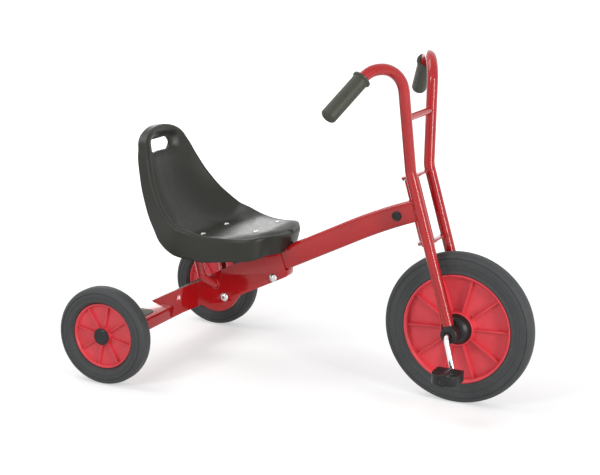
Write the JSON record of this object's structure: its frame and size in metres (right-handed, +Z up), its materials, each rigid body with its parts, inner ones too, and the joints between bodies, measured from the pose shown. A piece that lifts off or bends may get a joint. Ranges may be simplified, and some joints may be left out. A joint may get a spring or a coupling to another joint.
{
  "type": "tricycle",
  "caption": "Child's pedal tricycle with a bucket seat on an inclined frame, a raked tubular fork with swept grips, cranks on the front wheel and a rear step plate.",
  "frame": {"origin": "centre of the bounding box on the ground: the tyres stand on Z = 0", "axes": "+X forward along the direction of travel, +Y to the rider's left, +Z up"},
  "size_m": [1.119, 0.625, 0.8205],
  "materials": {
    "red_paint": "glossy red powder coat",
    "red_plastic": "satin moulded red",
    "tyre_rubber": "matt dark grey rubber",
    "seat_plastic": "fine-grained black moulding",
    "grip_rubber": "matt dark grey-green rubber",
    "black_plastic": "satin black",
    "chrome": "bright plated",
    "zinc_steel": "zinc plated"
  },
  "bodies": {
    "frame": {"main_beam": "red_paint", "head_tube": "red_paint", "beam_keel": "red_paint", "rear_channel": "red_paint", "gusset_left": "red_paint", "gusset_right": "red_paint", "step_plate": "red_paint", "step_pad_left": "grip_rubber", "step_pad_right": "grip_rubber", "axle_tube": "red_paint", "rear_axle": "zinc_steel", "rear_axle_nut_left": "zinc_steel", "rear_axle_nut_right": "zinc_steel", "seat_support_left": "red_paint", "seat_support_right": "red_paint", "seat_crossbar": "red_paint", "seat_shell": "seat_plastic", "front_seat_screw_left": "zinc_steel", "front_seat_screw_right": "zinc_steel", "rear_seat_screw_left": "zinc_steel", "rear_seat_screw_right": "zinc_steel", "front_clamp_bolt": "zinc_steel", "front_clamp_nut": "zinc_steel", "rear_clamp_bolt": "zinc_steel", "rear_clamp_nut": "zinc_steel", "beam_plug_left": "black_plastic", "beam_plug_right": "black_plastic", "upper_head_bush": "zinc_steel", "lower_head_bush": "zinc_steel"},
    "steering": {"steering_pin": "zinc_steel", "steering_nut": "zinc_steel", "upper_yoke": "red_paint", "lower_yoke": "red_paint", "fork_tube_left": "red_paint", "fork_tube_right": "red_paint", "handlebar_brace": "red_paint", "grip_left": "grip_rubber", "grip_right": "grip_rubber", "bearing_housing_left": "black_plastic", "bearing_housing_right": "black_plastic"},
    "front_wheel": {"front_tyre": "tyre_rubber", "front_rim": "red_plastic", "hub_cover_left": "black_plastic", "hub_cover_right": "black_plastic", "crank_axle": "chrome", "pedal_retainer_left": "zinc_steel", "pedal_retainer_right": "zinc_steel"},
    "left_pedal": {"pedal_left": "black_plastic", "pedal_plug_left": "black_plastic"},
    "right_pedal": {"pedal_right": "black_plastic", "pedal_plug_right": "black_plastic"},
    "rear_wheel_left": {"rear_tyre_left": "tyre_rubber", "rear_rim_left": "red_plastic", "rear_bush_left": "black_plastic", "rear_hub_cap_left": "black_plastic"},
    "rear_wheel_right": {"rear_tyre_right": "tyre_rubber", "rear_rim_right": "red_plastic", "rear_bush_right": "black_plastic", "rear_hub_cap_right": "black_plastic"}
  },
  "joints": [
    {"name": "steer", "type": "hinge", "parent": "frame", "child": "steering", "pos_m": [0.28482, 0, 0.38509], "axis": [-0.2935, 0, 0.9559], "range_deg": [-50, 50]},
    {"name": "front_wheel_spin", "type": "hinge", "parent": "steering", "child": "front_wheel", "pos_m": [0.3745, 0, 0.185], "axis": [0, 1, 0], "continuous": true},
    {"name": "left_pedal_spin", "type": "hinge", "parent": "front_wheel", "child": "left_pedal", "pos_m": [0.35302, 0.141, 0.26517], "axis": [0, 1, 0], "continuous": true},
    {"name": "right_pedal_spin", "type": "hinge", "parent": "front_wheel", "child": "right_pedal", "pos_m": [0.39598, -0.141, 0.10483], "axis": [0, 1, 0], "continuous": true},
    {"name": "left_rear_wheel_spin", "type": "hinge", "parent": "frame", "child": "rear_wheel_left", "pos_m": [-0.4375, 0.2885, 0.122], "axis": [0, 1, 0], "continuous": true},
    {"name": "right_rear_wheel_spin", "type": "hinge", "parent": "frame", "child": "rear_wheel_right", "pos_m": [-0.4375, -0.2885, 0.122], "axis": [0, 1, 0], "continuous": true}
  ]
}
